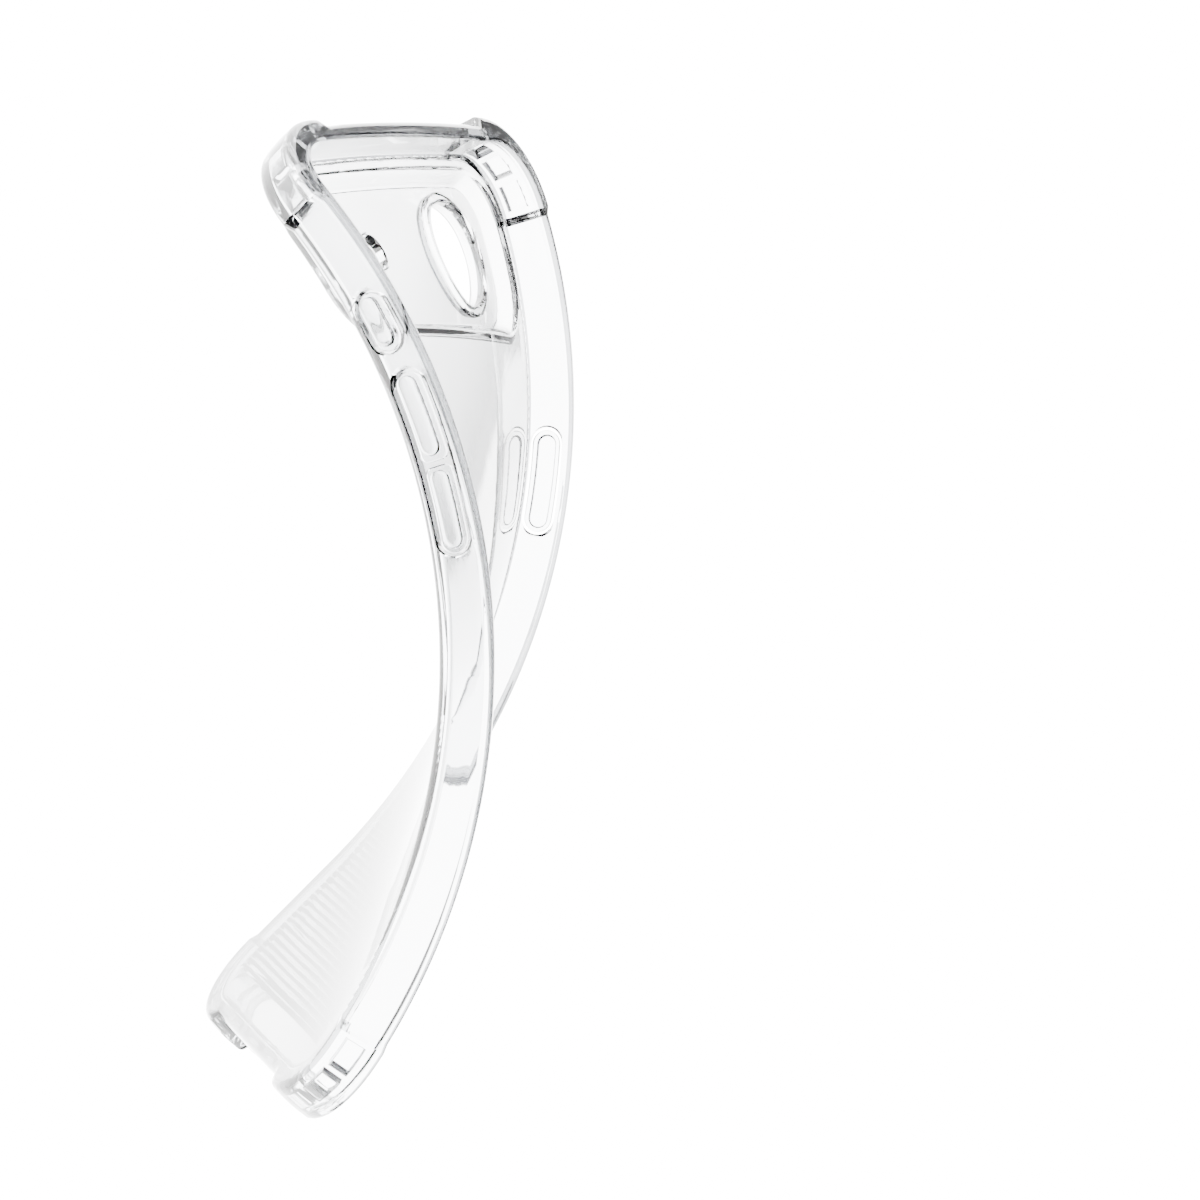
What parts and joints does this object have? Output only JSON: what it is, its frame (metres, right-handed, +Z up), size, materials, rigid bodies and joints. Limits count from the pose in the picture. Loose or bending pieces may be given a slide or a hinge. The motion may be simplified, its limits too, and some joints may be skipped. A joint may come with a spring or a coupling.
{
  "type": "phone case",
  "caption": "Clear soft phone case with shock corners, covered side keys, a raised camera tray and a lens guard, curled open as when it is peeled off.",
  "frame": {"origin": "centre of the curled case's bounding box, at the table it rests on", "axes": "+Z up from the table; +X from the camera end towards the port end; the curled back faces down and the phone opening faces up"},
  "size_m": [0.1568, 0.1372, 0.0644],
  "materials": {
    "back_sheet": "gloss",
    "side_wall": "gloss",
    "bumper": "gloss",
    "guard": "gloss",
    "button": "satin"
  },
  "bodies": {
    "flex_zone_1": {"back_panel_1": "back_sheet", "bottom_wall_1": "side_wall", "bumper_far_bottom": "bumper", "far_rail_1": "side_wall"},
    "flex_zone_2": {"back_panel_2": "back_sheet", "bumper_near_bottom": "bumper", "far_rail_2": "side_wall"},
    "flex_zone_3": {"back_panel_3": "back_sheet", "far_rail_3": "side_wall", "near_rail_3": "side_wall"},
    "flex_zone_4": {"back_panel_4": "back_sheet", "far_rail_4": "side_wall", "near_rail_4": "side_wall"},
    "flex_zone_5": {"back_panel_5": "back_sheet", "far_rail_5": "side_wall", "near_rail_5": "side_wall"},
    "flex_zone_6": {"back_panel_6": "back_sheet", "far_rail_6": "side_wall", "near_rail_6": "side_wall"},
    "flex_zone_7": {"back_panel_7": "back_sheet", "far_rail_7": "side_wall", "near_rail_7": "side_wall"},
    "flex_zone_8": {"back_panel_8_a": "back_sheet", "back_panel_8_b": "back_sheet", "bumper_far_top": "bumper", "lens_guard": "guard", "near_rail_8": "side_wall"},
    "flex_zone_9": {"back_panel_9": "back_sheet", "flash_guard": "guard", "near_rail_9": "side_wall", "top_wall_9": "side_wall"},
    "flex_zone_10": {"back_panel_10": "back_sheet", "bumper_near_top": "bumper", "near_rail_10": "side_wall", "top_wall_10": "side_wall"},
    "action_button": {"action_cover": "button"},
    "volume_down_button": {"volume_down_cover": "button"},
    "volume_up_button": {"volume_up_cover": "button"},
    "power_button": {"power_cover": "button"}
  },
  "joints": [
    {"name": "flex_1", "type": "hinge", "parent": "flex_zone_2", "child": "flex_zone_1", "pos_m": [0.05007, -0.03294, 0.03104], "axis": [0, 0.9232, -0.3843], "range_deg": [-11.01, 1.33]},
    {"name": "flex_2", "type": "hinge", "parent": "flex_zone_3", "child": "flex_zone_2", "pos_m": [0.03764, -0.02112, 0.03616], "axis": [0, 0.9232, -0.3843], "range_deg": [-11.01, 1.33]},
    {"name": "flex_3", "type": "hinge", "parent": "flex_zone_4", "child": "flex_zone_3", "pos_m": [0.02368, -0.01027, 0.03892], "axis": [0, 0.9232, -0.3843], "range_deg": [-11.01, 1.33]},
    {"name": "flex_4", "type": "hinge", "parent": "flex_zone_5", "child": "flex_zone_4", "pos_m": [0.00869, -0.0005, 0.03912], "axis": [0, 0.9232, -0.3843], "range_deg": [-11.01, 1.33]},
    {"name": "flex_5", "type": "hinge", "parent": "flex_zone_5", "child": "flex_zone_6", "pos_m": [-0.00678, 0.00815, 0.0366], "axis": [0, -0.9232, 0.3843], "range_deg": [-11, 1.32]},
    {"name": "flex_6", "type": "hinge", "parent": "flex_zone_6", "child": "flex_zone_7", "pos_m": [-0.02216, 0.01565, 0.03134], "axis": [0, -0.9232, 0.3843], "range_deg": [-11.01, 1.33]},
    {"name": "flex_7", "type": "hinge", "parent": "flex_zone_7", "child": "flex_zone_8", "pos_m": [-0.03687, 0.02204, 0.02341], "axis": [0, -0.9232, 0.3843], "range_deg": [-11.01, 1.33]},
    {"name": "flex_8", "type": "hinge", "parent": "flex_zone_8", "child": "flex_zone_9", "pos_m": [-0.05039, 0.02739, 0.01297], "axis": [0, -0.9232, 0.3843], "range_deg": [-11.01, 1.33]},
    {"name": "flex_9", "type": "hinge", "parent": "flex_zone_9", "child": "flex_zone_10", "pos_m": [-0.06221, 0.0318, 0.00027], "axis": [0, -0.9232, 0.3843], "range_deg": [-11.01, 1.33]},
    {"name": "action_press", "type": "slide", "parent": "flex_zone_9", "child": "action_button", "axis": [0.3813, 0.9238, -0.0342], "range_m": [0, 0.0005], "stiffness_N_per_m": 2000},
    {"name": "volume_down_press", "type": "slide", "parent": "flex_zone_7", "child": "volume_down_button", "axis": [0.4747, 0.8599, -0.1879], "range_m": [0, 0.0005], "stiffness_N_per_m": 2000},
    {"name": "volume_up_press", "type": "slide", "parent": "flex_zone_8", "child": "volume_up_button", "axis": [0.436, 0.8936, -0.1069], "range_m": [0, 0.0005], "stiffness_N_per_m": 2000},
    {"name": "power_press", "type": "slide", "parent": "flex_zone_5", "child": "power_button", "axis": [-0.499, -0.7871, 0.3626], "range_m": [0, 0.0005], "stiffness_N_per_m": 2000}
  ],
  "couplings": [
    {"joint": "flex_1", "follows": "flex_5", "ratio": 1},
    {"joint": "flex_2", "follows": "flex_5", "ratio": 1},
    {"joint": "flex_3", "follows": "flex_5", "ratio": 1},
    {"joint": "flex_4", "follows": "flex_5", "ratio": 1},
    {"joint": "flex_6", "follows": "flex_5", "ratio": 1},
    {"joint": "flex_7", "follows": "flex_5", "ratio": 1},
    {"joint": "flex_8", "follows": "flex_5", "ratio": 1},
    {"joint": "flex_9", "follows": "flex_5", "ratio": 1}
  ]
}
